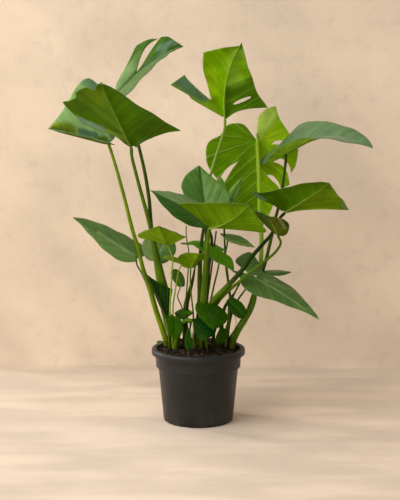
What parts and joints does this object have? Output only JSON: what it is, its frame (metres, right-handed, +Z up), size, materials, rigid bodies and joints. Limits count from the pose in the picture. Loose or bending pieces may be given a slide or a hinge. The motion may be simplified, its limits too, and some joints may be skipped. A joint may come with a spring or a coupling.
{
  "type": "potted monstera plant",
  "caption": "Leafy houseplant with large split leaves on long stalks, standing in soil in a tapered round nursery pot.",
  "frame": {"origin": "on the pot's axis, on the surface that the pot stands on", "axes": "+Z up along the pot's axis, -Y towards the side that the picture shows, +X to its right"},
  "size_m": [0.6353, 0.2808, 0.7754],
  "materials": {
    "pot": "satin moulded plastic, slightly scuffed",
    "soil": "coarse dark potting soil with bark chips",
    "stalk": "smooth waxy green stalks",
    "leaf_dark": "deep green waxy leaf",
    "leaf_green": "green waxy leaf with paler veins",
    "leaf_fresh": "bright young leaf, thin enough for light to pass"
  },
  "bodies": {
    "root": {"pot": "pot", "soil": "soil", "stalks_left_back": "stalk", "stalks_left": "stalk", "stalks_centre": "stalk", "stalks_right": "stalk", "leaf_big_left": "leaf_green", "leaf_far_left": "leaf_green", "leaf_top_left": "leaf_green", "leaf_top_middle": "leaf_fresh", "leaf_hanging_back": "leaf_fresh", "leaf_arching_right": "leaf_green", "leaf_right": "leaf_green", "leaf_centre_front": "leaf_fresh", "leaf_centre_upright": "leaf_green", "leaf_centre_back": "leaf_dark", "leaf_centre_left": "leaf_dark", "leaf_low_left": "leaf_green", "leaf_small_bright": "leaf_fresh", "leaf_small_dark": "leaf_dark", "leaf_olive": "leaf_green", "leaf_olive_small": "leaf_fresh", "leaf_arching_small": "leaf_green", "leaf_narrow_back": "leaf_dark", "leaf_low_right": "leaf_green", "leaf_thin_right": "leaf_dark", "leaf_folded_right": "leaf_green", "leaf_hanging_left": "leaf_dark", "leaf_round_left": "leaf_green", "leaf_ground_dark": "leaf_dark", "leaf_ground_left": "leaf_dark", "leaf_ground_front": "leaf_dark", "leaf_ground_broad": "leaf_dark", "leaf_ground_right": "leaf_dark", "leaf_ground_tip": "leaf_green", "leaf_ground_short": "leaf_dark", "leaf_seedling": "leaf_green"}
  },
  "joints": []
}
